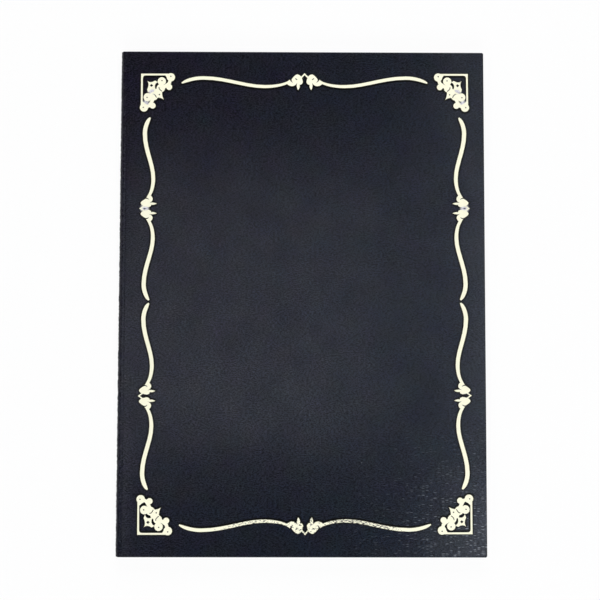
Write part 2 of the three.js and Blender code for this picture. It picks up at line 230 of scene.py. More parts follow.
def hook(thickness):
    """Points of the hook as (in from the edge, below the outer face, length along the sheet)."""
    radius = min(EDGE_ROUND, THIN_EDGE_ROUND * thickness)
    turns = [step / EDGE_STEPS * math.pi / 2 for step in range(EDGE_STEPS + 1)]
    falling = [radius * (1 - math.sin(turn)) for turn in turns]
    rising = [radius * (1 - math.cos(turn)) for turn in turns]
    profile = list(zip(falling, rising))
    profile += [(inset, thickness - above) for inset, above in zip(rising, falling)]
    profile += [(inset, thickness) for inset in (*TURNED_IN_ROWS, turn_in)]
    profile.append((turn_in, thickness - LEATHERETTE))
    start = CORNER_ROUND - radius
    return [(*point, start + along) for point, along in zip(profile, lengths_along(profile))]


board_hook = hook(case_depth)
print(f"the hook has {len(board_hook)} points and uses {board_hook[-1][2] / MM:.1f} mm of sheet")

# %% [markdown]
# A bump in a material never changes an outline. Along the folds the pebbles of the leatherette stand
# out against the white table, so the mesh itself has to carry them there. Fine rows of points run down
# the spine and the joint, and a smooth noise lifts and sinks them by up to about a fifth of a
# millimetre. The flat panel keeps coarse rows.

# %% Lift the grain at the fold
GRAIN_LIFT = 0.2 * MM
LIFTED_PEBBLE = 1.3 * MM
FINE_LIFT = 0.4
FINE_PEBBLES = 2.1
NOISE_SLICE = 2.5
SMOOTH_END = 4 * MM


def grain_lift(station, y):
    strength = 1 - ease(station.x, fold_end, board_spine_edge)
    strength *= 1 - ease(abs(y), head_edge - SMOOTH_END, head_edge - CORNER_ROUND)
    if not strength:
        return 0.0
    spot = Vector((station.along / LIFTED_PEBBLE, y / LIFTED_PEBBLE, NOISE_SLICE))
    return GRAIN_LIFT * strength * (noise.noise(spot) + FINE_LIFT * noise.noise(spot * FINE_PEBBLES))


print(f"half-way up the spine the grain lifts its middle by {grain_lift(stations[0], 0) / MM:.3f} mm")

# %% [markdown]
# A piece may bend across one fold only, so the sheet is made in two halves that meet at the middle of
# the spine, where nothing bends. The panel is a grid of stations and rows, and the hooks run round its
# three free edges. At the two free corners the hooks fan round a small arc outside, and inside they
# meet in a mitre: a shallow crease on the diagonal, as where two turned-in edges have been trimmed to
# meet.

# %% Hooks round the free edges
MITRE_WIDTH = 0.5 * MM
MITRE_DEPTH = 0.4 * MM


class Wrap:
    """Points, flat places and faces of one half of the leatherette, outer face up."""

    def __init__(self):
        self.points, self.places, self.faces = [], [], []

    def add(self, x, y, depth, across, up):
        self.points.append((x, y, closed_depth - depth))
        self.places.append((across, up))
        return len(self.points) - 1

    def head_hook(self, station, sign):
        reach = open_edge - CORNER_ROUND - board_spine_edge
        column = []
        for inset, below, length in hook(turned_thickness(station.x)):
            x = station.x - station.out_x * below
            if inset > CORNER_ROUND and x > board_spine_edge:
                mitred = open_edge - inset - MITRE_WIDTH / 2 - board_spine_edge
                x = board_spine_edge + (x - board_spine_edge) * mitred / reach
            depth = station.depth - station.out_depth * below
            up = head_edge - CORNER_ROUND + length
            column.append(self.add(x, sign * (head_edge - inset), depth, station.along, sign * up))
        return column

    def corner_hook(self, share, sign):
        turn = (1 - share) * math.pi / 2
        column = []
        for inset, below, length in hook(case_depth):
            left = CORNER_ROUND - inset
            x = open_edge - CORNER_ROUND + left * math.cos(turn)
            y = head_edge - CORNER_ROUND + left * math.sin(turn)
            if left < 0:
                x = open_edge - inset - MITRE_WIDTH / 2 * (1 - share)
                y = head_edge - inset - MITRE_WIDTH / 2 * share
                below -= MITRE_DEPTH * (1 - abs(2 * share - 1))
            across = panel_length + length * math.cos(turn)
            up = head_edge - CORNER_ROUND + length * math.sin(turn)
            column.append(self.add(x, sign * y, below, across, sign * up))
        return column

    def side_hook(self, y):
        column = []
        for inset, below, length in hook(case_depth):
            mitred = head_edge - max(inset + MITRE_WIDTH / 2, CORNER_ROUND)
            squeezed = y * mitred / (head_edge - CORNER_ROUND)
            column.append(self.add(open_edge - inset, squeezed, below, panel_length + length, y))
        return column

    def bridge(self, before, after):
        """Faces between two columns of points; where one has more rows, one face takes several of them."""
        many, few = len(before) - 1, len(after) - 1
        ratio = many // few
        for row in range(few):
            rows = before[row * ratio:(row + 1) * ratio + 1]
            self.faces.append((after[row], after[row + 1], *reversed(rows)))


print(f"mitres {MITRE_WIDTH / MM:.1f} mm wide and {MITRE_DEPTH / MM:.1f} mm deep")

# %% [markdown]
# The panel's columns come first, fine near the spine and coarse over the board. Then one row of hooks
# goes all round, from the spine along the head, down the opening edge and back along the tail, and each
# is joined to the hook before it and to the panel's rim.

# %% Wrap both covers
ROWS = 40
FINE_ROWS = 16
CORNER_STEPS = 6


def wrapped_cover(name):
    wrap = Wrap()
    inner_head = head_edge - CORNER_ROUND
    panel = []
    for station in stations:
        rows = ROWS * FINE_ROWS if station.x < joint_end else ROWS
        column = []
        for row in range(rows + 1):
            y = inner_head * (2 * row / rows - 1)
            lift = grain_lift(station, y)
            x, depth = station.x + station.out_x * lift, station.depth + station.out_depth * lift
            column.append(wrap.add(x, y, depth, station.along, y))
        panel.append(column)
    for before, after in zip(panel, panel[1:]):
        wrap.bridge(before, after)
    arc = [step / CORNER_STEPS for step in range(1, CORNER_STEPS)]
    edge = [wrap.head_hook(station, 1) for station in stations]
    edge += [wrap.corner_hook(share, 1) for share in arc]
    edge += [wrap.side_hook(inner_head * (1 - 2 * row / ROWS)) for row in range(ROWS + 1)]
    edge += [wrap.corner_hook(1 - share, -1) for share in arc]
    edge += [wrap.head_hook(station, -1) for station in reversed(stations)]
    inside = [column[-1] for column in panel] + [panel[-1][-1]] * len(arc)
    inside += [panel[-1][row] for row in range(ROWS, -1, -1)] + [panel[-1][0]] * len(arc)
    inside += [column[0] for column in reversed(panel)]
    for number in range(len(edge) - 1):
        wrap.bridge(edge[number], edge[number + 1])
        ring = [inside[number], inside[number + 1], edge[number + 1][0], edge[number][0]]
        wrap.faces.append(tuple(dict.fromkeys(ring)))
    return add_piece(name, wrap.points, [face for face in wrap.faces if len(face) > 2], wrap.places)


front_skin = wrapped_cover("front_cover_leatherette")
back_skin = wrapped_cover("back_cover_leatherette")
print("each half of the leatherette:", len(front_skin.data.vertices), "points")

# %% [markdown]
# The back half is mirrored, and its flat places too: the sheet runs on from one half to the other, and
# the grain has to cross the middle of the spine without a seam.

# %% Mirror the back half
mirror_to_back(back_skin)
for spot in back_skin.data.uv_layers["sheet"].data:
    spot.uv.x = -spot.uv.x

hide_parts("front_leatherette", "spine_leatherette")
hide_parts("back_leatherette", "spine_leatherette")
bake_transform(front_skin)
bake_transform(back_skin)

# %% [markdown]
# Opened, the case would show bare board edges along the fold, so the maker pastes a strip of the same
# leatherette over them: in over the board, down its edge, across the free leatherette and up the inside
# of the spine. Its line is drawn with square corners first, each with across, depth and radius, and a
# helper rounds each corner by its own radius.

# %% Round the corners of a line
STRIP = 0.25 * MM
STRIP_ROOM = 0.1 * MM
BOARD_EDGE_ROUND = 0.6 * MM
CREASE_ROUND = 0.3 * MM

strip_wall = board_spine_edge - STRIP - STRIP_ROOM
strip_face = spine_face + doubled + STRIP


def rounded_line(corners, steps=6):
    line = [Vector(corners[0][:2])]
    for before, corner, after in zip(corners, corners[1:], corners[2:]):
        middle, radius = Vector(corner[:2]), corner[2]
        arrive = (middle - Vector(before[:2])).normalized()
        leave = (Vector(after[:2]) - middle).normalized()
        centre = middle + (leave - arrive) * radius
        for step in range(steps + 1):
            turn = step / steps * math.pi / 2
            line.append(centre - leave * radius * math.cos(turn) + arrive * radius * math.sin(turn))
    line.append(Vector(corners[-1][:2]))
    return line


strip_line = rounded_line([
    (board_spine_edge + turn_in, case_depth + GLUE, 0),
    (strip_wall, case_depth + GLUE, BOARD_EDGE_ROUND),
    (strip_wall, doubled + STRIP, CREASE_ROUND),
    (strip_face, doubled + STRIP, CREASE_ROUND),
    (strip_face, closed_depth / 2, 0),
])
strip_length = lengths_along(strip_line)[-1]
print("the strip's line has", len(strip_line), "points and is", f"{strip_length / MM:.1f} mm long")

# %% [markdown]
# The strip is that line repeated in rows from tail to head, then thickened. Near its ends it lies on
# the covers' turned-in edges, so there its part over the board rises by its own thickness.

# %% Line the folds
STRIP_SHORT = 2.5 * MM
RISE_BEFORE_EDGE = 1.5 * MM
RISE_OVER_EDGE = 1 * MM


def hinge_strip(name):
    reach = head_edge - STRIP_SHORT
    window = head_edge - turn_in
    points, places = [], []
    for spot, along in zip(strip_line, lengths_along(strip_line)):
        over_board = ease(spot.x, strip_wall, board_spine_edge)
        for row in range(ROWS + 1):
            y = reach * (2 * row / ROWS - 1)
            rise = STRIP * ease(abs(y), window - RISE_BEFORE_EDGE, window + RISE_OVER_EDGE)
            points.append((spot.x, y, closed_depth - spot.y - rise * over_board))
            places.append((along, y))
    strip = add_piece(name, points, faces_between(len(strip_line), ROWS + 1), places)
    strip.data.flip_normals()
    return strip


front_strip = hinge_strip("front_hinge_lining")
back_strip = hinge_strip("back_hinge_lining")
mirror_to_back(back_strip)
for strip in (front_strip, back_strip):
    thicken(strip, STRIP)
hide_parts("front_hinge_strip", "spine_lining")
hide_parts("back_hinge_strip", "spine_lining")
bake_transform(front_strip)
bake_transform(back_strip)
print("fold linings:", len(front_strip.data.vertices), "points each")

# %% [markdown]
# A satin ribbon crosses each corner of the back lining at 45 degrees. It is pulled round the two edges
# of the lining and its tails are glued underneath, so the certificate's corners slip under it. Folding
# a strip over an edge at 45 degrees turns it by a right angle, so each tail runs back under the lining
# beside the band. The strip is built crosswise: every thread that runs along the ribbon gets its own
# line over the top, round the edges and under, which keeps the folds exactly on the lining's edges.

# %% Draw one thread of a ribbon
RIBBON_WIDTH = 12 * MM
RIBBON_REACH = 30 * MM
RIBBON_TAIL = 9 * MM
RIBBON = 0.16 * MM
RIBBON_BOW = 0.04 * MM
ROLL_BULGE = 0.3
ROLL_STEPS = 6
BAND_STEPS = 18

lining_low, lining_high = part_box("back_lining")


def ribbon_thread(across):
    """Points (in from the side, in from the head, height) of the thread so far across the ribbon."""
    reach = RIBBON_REACH + across * math.sqrt(2)
    roll = (lining_high.z - lining_low.z) / 2 + GLUE + RIBBON
    middle = (lining_high.z + lining_low.z) / 2
    half = [(RIBBON_TAIL, reach + RIBBON_TAIL, middle - roll)]
    for step in range(ROLL_STEPS + 1):
        turn = step / ROLL_STEPS * math.pi - math.pi / 2
        out = -ROLL_BULGE * roll * math.cos(turn) - GLUE
        half.append((out, reach + out * math.sin(turn), middle + roll * math.sin(turn)))
    band = []
    for step in range(1, BAND_STEPS):
        share = step / BAND_STEPS
        bow = RIBBON_BOW * math.sin(math.pi * share) ** 2
        band.append((reach * share, reach * (1 - share), middle + roll + bow))
    return half + band + [(head, side, height) for side, head, height in reversed(half)]


middle_thread = ribbon_thread(RIBBON_WIDTH / 2)
print("a thread in the middle of a ribbon has", len(middle_thread), "points")

# %% [markdown]
# The two outermost threads of a ribbon are its selvedges, where the weft turns back. They are a little
# thicker than the satin between them, so several threads lie close together at each side, and the two
# beside the very edge are raised.

# %% Weave the four ribbons
THREADS = [0, 0.2, 0.5, 0.9, 2.4, 4.2, 6, 7.8, 9.6, 11.1, 11.5, 11.8, 12]
RAISED_THREADS = (0.2, 0.5, 11.5, 11.8)
SELVEDGE = 0.05 * MM
FLAT_START = -35 * MM


def corner_ribbon(name, side_sign, head_sign):
    side = lining_high.x if side_sign > 0 else lining_low.x
    points, places = [], []
    for across in THREADS:
        thread = ribbon_thread(across * MM)
        raised = SELVEDGE if across in RAISED_THREADS else 0.0
        for (in_side, in_head, height), along in zip(thread, lengths_along(thread)):
            x, y = side - side_sign * in_side, head_sign * (lining_high.y - in_head)
            points.append((x, y, height + raised))
            places.append((FLAT_START + along, across * MM))
    ribbon = add_piece(name, points, faces_between(len(THREADS), len(middle_thread)), places)
    if side_sign * head_sign < 0:
        ribbon.data.flip_normals()
    return thicken(ribbon, RIBBON)


ribbons = []
for end, head_sign in (("top", 1), ("bottom", -1)):
    for side, side_sign in (("left", -1), ("right", 1)):
        ribbon = corner_ribbon(f"satin_ribbon_{end}_{side}", side_sign, head_sign)
        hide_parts(f"corner_ribbon_{end}_{side}")
        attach(ribbon, "back_cover")
        ribbons.append(ribbon)

# %% [markdown]
# Round the gold lies a narrow dark line. It is painted shade: a dark sheet laid where the shoulder that a
# hot die sinks into the leatherette would catch no light. The outlines are known already: the solids of
# the border are copied into one mesh, welded, and each point is pushed outwards along the outline, so
# that the copy looks out from under the foil all round. It is also drawn in by a trace along the cover's
# height, which makes the line broader on the inner side of the scrolls at the head and the tail.

# %% Lay the painted shade round the foil
SHADE_RIM_WIDTH = 0.9 * MM
SHADE_RIM_HEIGHT = 0.02 * MM
SHADE_RIM_DRAWN_IN = 0.002
WELD = 0.001 * MM

gilt = [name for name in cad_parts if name.startswith("gilt_")]
foil_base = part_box(gilt[0])[0].z
shape = bmesh.new()
for name in gilt:
    shape.from_mesh(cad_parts[name].data)
bmesh.ops.remove_doubles(shape, verts=shape.verts, dist=WELD)
shape.normal_update()
for point in shape.verts:
    outward = Vector((point.normal.x, point.normal.y, 0)).normalized()
    above = point.co.z > foil_base + SHADE_RIM_HEIGHT
    point.co += outward * SHADE_RIM_WIDTH
    point.co.y *= 1 - SHADE_RIM_DRAWN_IN
    point.co.z = closed_depth + (SHADE_RIM_HEIGHT if above else -SHADE_RIM_HEIGHT)
# Painted shade: this dark sheet stands for the shadow of the die's shoulder round the foil.
shade_rim_mesh = bpy.data.meshes.new("foil_shade_rim")
shape.to_mesh(shade_rim_mesh)
shape.free()
foil_shade_rim = put_in_scene("foil_shade_rim", shade_rim_mesh)
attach(foil_shade_rim, "front_cover")
print("foil bed:", len(shade_rim_mesh.vertices), "points")

# %% [markdown]
# Materials are built from code, so short helpers keep that readable. The first adds a node and sets or
# links its inputs in one call. The next ones open a node group and place it, which is how an effect
# such as grain is made once and then used in several materials with different values. A last pair opens
# a material with its constant values and gives it to a mesh.


# %% Add nodes, groups and materials
def add_node(tree, kind, inputs=None, **settings):
    node = tree.nodes.new("ShaderNode" + kind)
    for setting, value in settings.items():
        setattr(node, setting, value)
    for name, value in (inputs or {}).items():
        if isinstance(value, bpy.types.NodeSocket):
            tree.links.new(value, node.inputs[name])
        else:
            node.inputs[name].default_value = value
    return node


def new_group(name, inputs, outputs):
    tree = bpy.data.node_groups.new(name, "ShaderNodeTree")
    for socket, kind, value in inputs:
        made = tree.interface.new_socket(socket, in_out="INPUT", socket_type="NodeSocket" + kind)
        made.default_value = value
    for socket, kind in outputs:
        tree.interface.new_socket(socket, in_out="OUTPUT", socket_type="NodeSocket" + kind)
    return tree, tree.nodes.new("NodeGroupInput").outputs, tree.nodes.new("NodeGroupOutput").inputs


def use_group(tree, group, inputs):
    return add_node(tree, "Group", inputs, node_tree=group).outputs


def new_material(name, **constants):
    material = bpy.data.materials.new(name)
    material.use_nodes = True
    shader = material.node_tree.nodes["Principled BSDF"]
    for socket, value in constants.items():
        shader.inputs[socket.replace("_", " ")].default_value = value
    return material, material.node_tree, shader.inputs


def feed(tree, inputs, **sockets):
    for name, socket in sockets.items():
        tree.links.new(socket, inputs[name.replace("_", " ")])


def dress(mesh, material):
    mesh.materials.clear()
    mesh.materials.append(material)


print("node helpers are ready in Blender", bpy.app.version_string)


# %% [markdown]
# A few kinds of node come again and again: a sum, a vector sum, a ramp from one range of values to
# another, a mix of two colours and a bump. Each gets a helper that hands back its result, so that one
# line of code is one step of a finish. The last one is for marks at chosen places: it takes the
# strongest of several round spots.


# %% Steps of a finish
def calculate(tree, operation, *values, **settings):
    return add_node(tree, "Math", dict(enumerate(values)), operation=operation, **settings).outputs[0]


def calculate_vector(tree, operation, *values):
    node = add_node(tree, "VectorMath", dict(enumerate(values)), operation=operation)
    return node.outputs["Value" if operation in ("DISTANCE", "DOT_PRODUCT") else "Vector"]


def in_millimetres(tree, place):
    return calculate_vector(tree, "MULTIPLY", place, (1 / MM,) * 3)


def ramp(tree, value, start, end, low=0.0, high=1.0, **settings):
    ends = {"Value": value, "From Min": start, "From Max": end, "To Min": low, "To Max": high}
    return add_node(tree, "MapRange", ends, **settings).outputs[0]


def mix_colours(tree, share, first, second, blend_type="MIX"):
    inputs = {"Factor": share, "A": first, "B": second}
    return add_node(tree, "Mix", inputs, data_type="RGBA", blend_type=blend_type).outputs["Result"]


def bump(tree, height, strength, distance):
    inputs = {"Strength": strength, "Distance": distance, "Height": height}
    return add_node(tree, "Bump", inputs).outputs["Normal"]


def strongest_spot(tree, place, spots, reach, least):
    """Each spot has its own strength within half its reach, and the least beyond it."""
    strongest = 0.0
    for spot, most in spots:
        away = calculate_vector(tree, "DISTANCE", place, spot)
        here = ramp(tree, away, reach / 2, reach, most, least)
        strongest = calculate(tree, "MAXIMUM", strongest, here)
    return strongest


print("places are scaled by", 1 / MM, "so that patterns are sized in millimetres")

# %% [markdown]
# The pebbles of this leatherette are small and stretched crosswise, about a millimetre and a half by
# half that. Two layers of noise on a stretched flat place give rounded pebbles of uneven height, and a
# Voronoi pattern cuts the creases between them. The group gives a height for a bump, a mask of the
# pebbles' tops, and a random number for each pebble, by which a material can treat single pebbles
# differently.

# %% Grain group
PEBBLE = (1.5, 0.62, 1.0)
CREASE_WIDTH = 0.16
CREASE_CUT = 0.22
TOP_INNER = 0.15
TOP_OUTER = 0.55

grain, given, result = new_group(
    "Embossed grain",
    [("Place", "Vector", (0, 0, 0)), ("Pebble in mm", "Vector", PEBBLE)],
    [("Height", "Float"), ("Top", "Float"), ("Chance", "Float")],
)
pebbles = calculate_vector(grain, "DIVIDE", in_millimetres(grain, given["Place"]), given["Pebble in mm"])
swell = add_node(grain, "TexNoise", {"Vector": pebbles, "Scale": 1.0, "Detail": 2.0, "Roughness": 0.55})
cell_inputs = {"Vector": pebbles, "Scale": 1.0, "Randomness": 1.0}
cells = add_node(grain, "TexVoronoi", cell_inputs).outputs
borders = add_node(grain, "TexVoronoi", cell_inputs, feature="DISTANCE_TO_EDGE").outputs
crease = ramp(grain, borders["Distance"], 0, CREASE_WIDTH, 1, 0, interpolation_type="SMOOTHSTEP")
cut = calculate(grain, "MULTIPLY", crease, -CREASE_CUT)
height = calculate(grain, "ADD", swell.outputs["Fac"], cut)
top = ramp(grain, cells["Distance"], TOP_INNER, TOP_OUTER, 1, 0)
chance = add_node(grain, "SeparateColor", {"Color": cells["Color"]}).outputs["Red"]
feed(grain, result, Height=height, Top=top, Chance=chance)
print("grain group:", len(grain.nodes), "nodes")

# %% [markdown]
# Dark leatherette shows every speck. A Voronoi pattern scatters points, one in each cell a centimetre
# or two wide. The surface very close to a point becomes a speck, and the cell's random colour decides
# whether the cell has one at all.

# %% Dust group
SPECK_CORE = 0.008
SPECK_RIM = 0.016
CLEAN_CELLS = 0.72

dust, given, result = new_group(
    "Dust specks",
    [("Place", "Vector", (0, 0, 0)), ("Apart in mm", "Float", 14.0)],
    [("Speck", "Float")],
)
cells_per_mm = calculate(dust, "DIVIDE", 1.0, given["Apart in mm"])
cell_inputs = {"Vector": in_millimetres(dust, given["Place"]), "Scale": cells_per_mm}
scatter = add_node(dust, "TexVoronoi", cell_inputs).outputs
near = ramp(dust, scatter["Distance"], SPECK_CORE, SPECK_RIM, 1, 0)
pick = add_node(dust, "SeparateColor", {"Color": scatter["Color"]}).outputs["Red"]
chosen = calculate(dust, "GREATER_THAN", pick, CLEAN_CELLS)
feed(dust, result, Speck=calculate(dust, "MULTIPLY", near, chosen))
print("dust group:", len(dust.nodes), "nodes")

# %% [markdown]
# The covering is dyed a blue so dark that it is nearly black. Its hue slants from violet at the head of
# the spine to teal at the tail of the opening edge, and small clouds of unevenly taken dye drift over
# that. The creases between the pebbles are painted darker than their tops: this is painted shade in the
# creases, not a dye. More than half of what one sees of such a dark sheet is reflected light, so the
# shader's own shine is kept low and the lacquer, below, gives the rest.

# %% Leatherette dyes and painted shade in the creases
VIOLET_DYE = (0.0166, 0.0124, 0.0250, 1)
TEAL_DYE = (0.0095, 0.0180, 0.0308, 1)
CREASE_SHADE = (0.0006, 0.0007, 0.0014, 1)
DUST_GREY = (0.45, 0.45, 0.45, 1)
HUE_SLANT = (2.9, -1.13, 0)
HUE_RANGE = (-0.18, 0.82)
DYE_CLOUDS = 75.0
DYE_DRIFT = 1.1
CREASE_SHADE_RANGE = (0.25, 0.75)
DUST_APART = 17.0

leatherette, tree, surface = new_material(
    "leatherette", Roughness=0.25, Specular_IOR_Level=0.12, Specular_Tint=(0.6, 0.68, 1, 1),
    Coat_Roughness=0.22, Coat_IOR=2.0,
)
sheet_place = add_node(tree, "UVMap", uv_map="sheet").outputs["UV"]
grained = use_group(tree, grain, {"Place": sheet_place, "Pebble in mm": PEBBLE})
specks = use_group(tree, dust, {"Place": sheet_place, "Apart in mm": DUST_APART})
hue = ramp(tree, calculate_vector(tree, "DOT_PRODUCT", sheet_place, HUE_SLANT), *HUE_RANGE)
toned = mix_colours(tree, hue, VIOLET_DYE, TEAL_DYE)
clouds = add_node(tree, "TexNoise", {"Vector": sheet_place, "Scale": DYE_CLOUDS, "Detail": 2.0})
least_dye = (1 - DYE_DRIFT / 2,) * 3
dyes = calculate_vector(tree, "MULTIPLY_ADD", clouds.outputs["Color"], (DYE_DRIFT,) * 3, least_dye)
uneven = mix_colours(tree, 1.0, toned, dyes, blend_type="MULTIPLY")
# Painted shade: the creases between the pebbles are darkened in the colour.
crease_shaded = mix_colours(tree, ramp(tree, grained["Height"], *CREASE_SHADE_RANGE), CREASE_SHADE, uneven)
dusted = mix_colours(tree, specks["Speck"], crease_shaded, DUST_GREY)
print("leatherette has taken its dyes:", len(tree.nodes), "nodes")

# %% [markdown]
# Near the tail of the opening edge single pebbles catch the light as short pale dashes. These glints are
# painted highlights: a pale grey is mixed into the colour, while the same pebbles also get more lacquer,
# which shines for real. Painting each dash would fix them to one size of holder. Instead the grain group
# is placed once more with long, narrow pebbles, and a pebble gets a glint where its random number is
# above a limit that falls towards the tail corner.

# %% Painted glints towards the tail corner
GLINT_PEBBLE = (2.4, 0.28, 1.0)
PAINTED_GLINT_GREY = (0.36, 0.39, 0.43, 1)
GLINT_RANGE = (10 * MM, 135 * MM)
GLINT_SHARE = 0.095
GLINT_FADE = 2.4

glints = use_group(tree, grain, {"Place": sheet_place, "Pebble in mm": GLINT_PEBBLE})
corner = (panel_length, -head_edge, 0)
glint_area = ramp(tree, calculate_vector(tree, "DISTANCE", sheet_place, corner), *GLINT_RANGE, 1, 0)
limit = ramp(tree, glint_area, 0, 1, 1, 1 - GLINT_SHARE)
picked = calculate(tree, "GREATER_THAN", glints["Chance"], limit)
topped = calculate(tree, "MULTIPLY", picked, glints["Top"])
faded = calculate(tree, "POWER", glint_area, GLINT_FADE)
glint_mask = calculate(tree, "MULTIPLY", faded, topped)
# Painted highlight: the glinting pebbles are mixed towards a pale grey in the colour.
painted_glints = mix_colours(tree, glint_mask, dusted, PAINTED_GLINT_GREY)
print("scuffs reach", f"{GLINT_RANGE[1] / MM:.0f} mm from the corner")

# %% [markdown]
# A thin lacquer lies over the grain. It reflects most from the tops of the pebbles, so the grain shows
# as a difference in shine and not in colour, and a slow haze keeps it from looking sprayed. Towards the
# tail the tops shine more. The shader's coat is made for such a layer: its weight changes over the
# sheet, while its roughness stays one value.

# %% Lacquer
LACQUER_RANGE = (60 * MM, -110 * MM)
HOLLOW_LACQUER = (0.105, 0.09)
CREST_LACQUER = (0.18, 0.29)
CREST_RANGE = (0.3, 0.75)
CREST_POWER = 2.0
HAZE_RANGE = (0.25, 0.75)
HAZE = (0.75, 1.25)
GLINT_SHINE = 0.4

up = add_node(tree, "SeparateXYZ", {"Vector": sheet_place}).outputs["Y"]
thin = ramp(tree, up, *LACQUER_RANGE, *HOLLOW_LACQUER)
thick = ramp(tree, up, *LACQUER_RANGE, *CREST_LACQUER)
peaks = calculate(tree, "POWER", ramp(tree, grained["Height"], *CREST_RANGE), CREST_POWER)
lacquer = ramp(tree, peaks, 0, 1, thin, thick)
haze = add_node(tree, "TexNoise", {"Vector": sheet_place, "Scale": 45.0, "Detail": 4.0, "Roughness": 0.6})
dulled = calculate(tree, "MULTIPLY", lacquer, ramp(tree, haze.outputs["Fac"], *HAZE_RANGE, *HAZE))
shine = calculate(tree, "MULTIPLY_ADD", glint_mask, GLINT_SHINE, dulled, use_clamp=True)
embossed = bump(tree, grained["Height"], 1.0, 0.1 * MM)
feed(tree, surface, Base_Color=painted_glints, Coat_Weight=shine, Normal=embossed)
for piece in (front_skin, back_skin, front_strip, back_strip):
    dress(piece.data, leatherette)
print("leatherette on", front_skin.name, back_skin.name, front_strip.name, back_strip.name)

# %% [markdown]
# The line round the foil is painted shade, so it is much darker than the leatherette, with a faint grain
# in its tone and roughness but no bump. In the narrowest gaps of the two head corners, and of the upper
# scrolls at the sides, the foil has bridged the leatherette. Those places are measured from the solids of
# the border, and round spots of pale foil fill the painted shade there.

# %% Colour of the painted shade round the foil
HEAD_GAPS = [(7.4 * MM, 11.5 * MM), (4.5 * MM, 18.6 * MM)]
KNOT_GAP = 3.2 * MM
FILL_REACH = 3.2 * MM
FILL = 0.9
PALE_FOIL = (0.78, 0.76, 0.80, 1)
SHADE_RIM_LOW = (0.0006, 0.0006, 0.0004, 1)
SHADE_RIM_HIGH = (0.0030, 0.0030, 0.0024, 1)
SHADE_RIM_ROUGHNESS = (0.25, 0.35)

gaps = []
for side, outer in (("left", 0), ("right", 1)):
    corner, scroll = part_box(f"gilt_corner_top_{side}"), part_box(f"gilt_scroll_{side}_upper")
    inward = 1 - 2 * outer
    gaps += [(corner[outer].x + inward * across, corner[1].y - down) for across, down in HEAD_GAPS]
    gaps.append((scroll[outer].x + inward * KNOT_GAP, (scroll[0].y + scroll[1].y) / 2))
fills = [((x, y, closed_depth), FILL) for x, y in gaps]

painted_shade, tree, surface = new_material("painted_foil_shade", Specular_IOR_Level=0.06)
place = add_node(tree, "TexCoord").outputs["Object"]
height = use_group(tree, grain, {"Place": place, "Pebble in mm": PEBBLE})["Height"]
# Painted shade: near-black tones for the line round the foil.
shade_rim_tone = mix_colours(tree, height, SHADE_RIM_LOW, SHADE_RIM_HIGH)
bridged = strongest_spot(tree, place, fills, FILL_REACH, 0.0)
gilded = mix_colours(tree, bridged, shade_rim_tone, PALE_FOIL)
feed(tree, surface, Base_Color=gilded, Roughness=ramp(tree, height, 0, 1, *SHADE_RIM_ROUGHNESS))
dress(foil_shade_rim.data, painted_shade)
print("burnished line round", len(gilt), "pieces of the border, with", len(fills), "gaps filled")

# %% [markdown]
# The foil is a film of metal thinner than paint, pressed into the grain by a hot die. The solids of the
# border already have the right outlines, so they stay and get a material. The grain of the leatherette
# still shows through as a fine bump, and where the die pressed less, the deepest creases took no gold.
# A foil-wear group gives that mask, from a noise that is cut off at a limit: the more gold is missing,
# the lower the limit.

# %% Foil wear group
PIT_STRETCH = (0.6, 1.5, 0)
WHOLE_LIMIT = 0.78
PIT_EDGE = 0.05

wear, given, result = new_group(
    "Foil wear",
    [("Place", "Vector", (0, 0, 0)), ("Missing", "Float", 0.1)],
    [("Bare", "Float"), ("Height", "Float")],
)
stretched = calculate_vector(wear, "MULTIPLY", in_millimetres(wear, given["Place"]), PIT_STRETCH)
pit_inputs = {"Vector": stretched, "Scale": 1.0, "Detail": 3.0, "Roughness": 0.65}
pits = add_node(wear, "TexNoise", pit_inputs).outputs["Fac"]
limit = calculate(wear, "SUBTRACT", WHOLE_LIMIT, given["Missing"])
bare = ramp(wear, pits, limit, calculate(wear, "ADD", limit, PIT_EDGE))
feed(wear, result, Bare=bare, Height=pits)
print("foil wear group:", len(wear.nodes), "nodes")

# %% [markdown]
# Most of the border is whole. The scroll at the tail is worn most, at three spots along it: at its
# middle knot and part of the way along each arm. It gets a copy of the foil with those spots.

# %% Foil materials
GOLD = (0.895, 0.874, 0.708, 1)
BARE_DARK = (0.03, 0.028, 0.03, 1)
FOIL_METAL = 0.9
FOIL_ROUGHNESS = (0.58, 0.78)
WORN_REACH = 34 * MM
WORN_LEAST = 0.04
WORN_ALONG = [(36 * MM, 0.29), (6 * MM, 0.23), (-26 * MM, 0.24)]


def foil_material(name, worn_spots=()):
    material, tree, surface = new_material(name)
    place = add_node(tree, "TexCoord").outputs["Object"]
    missing = strongest_spot(tree, place, worn_spots, WORN_REACH, WORN_LEAST)
    worn = use_group(tree, wear, {"Place": place, "Missing": missing})
    colour = mix_colours(tree, worn["Bare"], GOLD, BARE_DARK)
    metal = ramp(tree, worn["Bare"], 0, 1, FOIL_METAL, 0.0)
    rough = ramp(tree, worn["Height"], 0, 1, *FOIL_ROUGHNESS)
    pressed = bump(tree, worn["Height"], 0.35, 0.06 * MM)
    feed(tree, surface, Base_Color=colour, Metallic=metal, Roughness=rough, Normal=pressed)
    return material


tail_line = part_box("gilt_scroll_bottom")[0].y
gold_foil = foil_material("gold_foil")
worn_spots = [((x, tail_line, closed_depth), most) for x, most in WORN_ALONG]
worn_foil = foil_material("gold_foil_worn", worn_spots)
for name in gilt:
    dress(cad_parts[name].data, worn_foil if name == "gilt_scroll_bottom" else gold_foil)
print("gold foil on", len(gilt), "pieces of the border")

# %% [markdown]
# The lining is a paper finished like watered silk: fine crosswise ribs, flattened in drifting bands so
# that the light breaks into the rings of wood grain. The bands are the contour lines of slow hills,
# which the sine of a stretched noise gives, and they change the roughness and the height of the ribs
# more than the colour.

